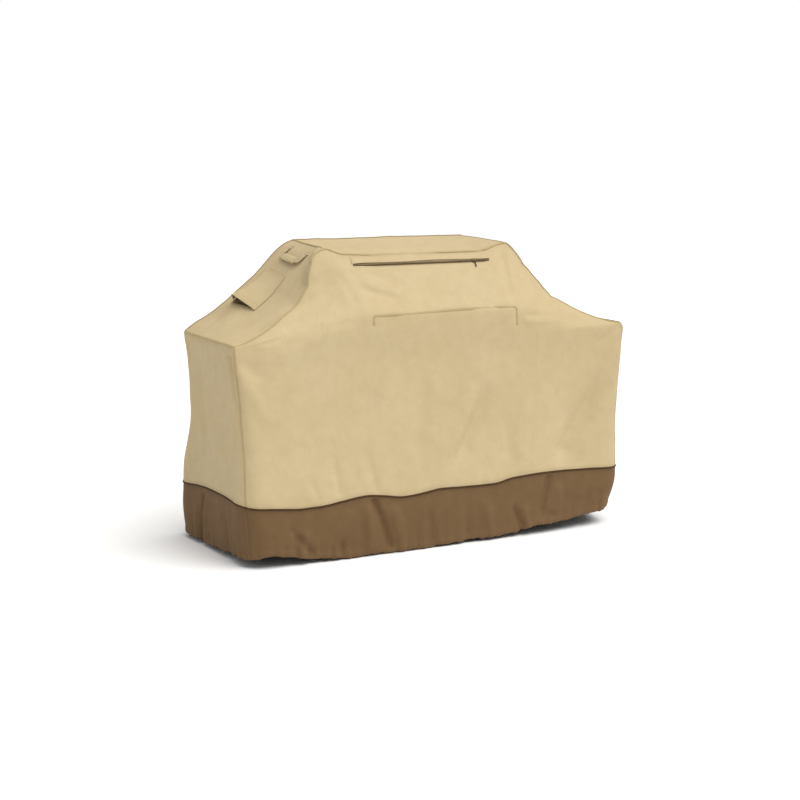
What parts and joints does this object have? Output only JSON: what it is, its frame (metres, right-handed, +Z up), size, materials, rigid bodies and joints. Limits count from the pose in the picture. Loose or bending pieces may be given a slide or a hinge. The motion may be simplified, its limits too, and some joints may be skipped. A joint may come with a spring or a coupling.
{
  "type": "grill cover",
  "caption": "Fitted fabric cover for a cart grill: raised hood, sloping shoulders, contrasting skirt with piping, zipped pocket, side vents, handles and leg straps.",
  "frame": {"origin": "on the floor, under the middle of the cover's bounding box", "axes": "+X along the length, to the right of someone facing the front; the front, with the zip, faces -Y; +Z up"},
  "size_m": [1.7778, 0.6894, 1.224],
  "materials": {
    "tan_cloth": "coated woven polyester, matt",
    "brown_cloth": "coated woven polyester, matt",
    "piping": "corded binding",
    "elastic": "braided shock cord",
    "black_plastic": "moulded acetal",
    "steel": "zinc plated",
    "tape": "woven tape",
    "coil": "nylon zip coil",
    "mesh": "open polyester mesh",
    "webbing": "woven webbing",
    "black_webbing": "woven webbing",
    "brown_cord": "moulded pull"
  },
  "bodies": {
    "cover": {"front_panel": "tan_cloth", "back_panel": "tan_cloth", "left_end_panel": "tan_cloth", "right_end_panel": "tan_cloth", "hood_front_panel": "tan_cloth", "hood_top_panel": "tan_cloth", "left_shoulder_panel": "tan_cloth", "right_shoulder_panel": "tan_cloth", "front_skirt": "brown_cloth", "back_skirt": "brown_cloth", "left_skirt": "brown_cloth", "right_skirt": "brown_cloth", "skirt_piping": "piping", "hem_elastic": "elastic", "elastic_end_knot": "elastic", "cord_lock_body": "black_plastic", "cord_lock_spring": "steel", "zip_tape_upper": "tape", "zip_tape_lower": "tape", "pocket_lining": "tape", "zip_coil_upper": "coil", "zip_coil_lower": "coil", "zip_stop_left": "steel", "zip_stop_right": "steel", "zip_rain_flap": "tan_cloth", "left_vent_mesh": "mesh", "left_handle_tack_front": "webbing", "left_handle_tack_back": "webbing", "right_vent_mesh": "mesh", "right_handle_tack_front": "webbing", "right_handle_tack_back": "webbing", "left_front_strap_patch": "tape", "left_front_strap_tab": "black_webbing", "left_back_strap_patch": "tape", "left_back_strap_tab": "black_webbing", "right_front_strap_patch": "tape", "right_front_strap_tab": "black_webbing", "right_back_strap_patch": "tape", "right_back_strap_tab": "black_webbing"},
    "zip_slider": {"zip_slider": "steel"},
    "zip_pull": {"zip_pull_tab": "brown_cord"},
    "left_vent": {"left_vent_flap": "tan_cloth", "left_vent_stay": "black_plastic"},
    "right_vent": {"right_vent_flap": "tan_cloth", "right_vent_stay": "black_plastic"},
    "left_handle": {"left_handle_webbing": "webbing", "left_handle_sleeve": "tan_cloth"},
    "right_handle": {"right_handle_webbing": "webbing", "right_handle_sleeve": "tan_cloth"},
    "cord_lock_button": {"cord_lock_button": "black_plastic"},
    "left_front_strap": {"left_front_strap": "black_webbing", "left_front_buckle_socket": "black_plastic"},
    "left_back_strap": {"left_back_strap": "black_webbing", "left_back_buckle_prongs": "black_plastic"},
    "right_front_strap": {"right_front_strap": "black_webbing", "right_front_buckle_socket": "black_plastic"},
    "right_back_strap": {"right_back_strap": "black_webbing", "right_back_buckle_prongs": "black_plastic"}
  },
  "joints": [
    {"name": "zip_slide", "type": "slide", "parent": "cover", "child": "zip_slider", "axis": [1, 0, 0], "range_m": [-0.5395, 0.0585]},
    {"name": "zip_pull_swing", "type": "hinge", "parent": "zip_slider", "child": "zip_pull", "pos_m": [0.233, -0.14702, 1.14681], "axis": [-1, 0, 0], "range_deg": [0, 110]},
    {"name": "left_vent_lift", "type": "hinge", "parent": "cover", "child": "left_vent", "pos_m": [-0.54455, 0.23347, 1.11669], "axis": [-0.0397, 0.9913, 0.1254], "range_deg": [0, 60]},
    {"name": "right_vent_lift", "type": "hinge", "parent": "cover", "child": "right_vent", "pos_m": [0.54455, 0.23347, 1.11669], "axis": [-0.0397, -0.9913, -0.1254], "range_deg": [0, 60]},
    {"name": "left_handle_swing", "type": "hinge", "parent": "cover", "child": "left_handle", "pos_m": [-0.45849, 0.10769, 1.18898], "axis": [0.0075, 0.9963, 0.0856], "range_deg": [0, 120]},
    {"name": "right_handle_swing", "type": "hinge", "parent": "cover", "child": "right_handle", "pos_m": [0.45849, 0.10769, 1.18898], "axis": [0.0075, -0.9963, -0.0856], "range_deg": [0, 120]},
    {"name": "cord_lock_press", "type": "slide", "parent": "cover", "child": "cord_lock_button", "axis": [0, 0, -1], "range_m": [0, 0.0025], "stiffness_N_per_m": 800, "springref_m": -0.001, "deforming": ["cord_lock_spring"]},
    {"name": "left_front_strap_swing", "type": "hinge", "parent": "cover", "child": "left_front_strap", "pos_m": [-0.64, -0.322, 0.168], "axis": [1, 0, 0], "range_deg": [0, 95]},
    {"name": "left_back_strap_swing", "type": "hinge", "parent": "cover", "child": "left_back_strap", "pos_m": [-0.64, 0.322, 0.168], "axis": [-1, 0, 0], "range_deg": [0, 95]},
    {"name": "right_front_strap_swing", "type": "hinge", "parent": "cover", "child": "right_front_strap", "pos_m": [0.64, -0.322, 0.168], "axis": [1, 0, 0], "range_deg": [0, 95]},
    {"name": "right_back_strap_swing", "type": "hinge", "parent": "cover", "child": "right_back_strap", "pos_m": [0.64, 0.322, 0.168], "axis": [-1, 0, 0], "range_deg": [0, 95]}
  ]
}
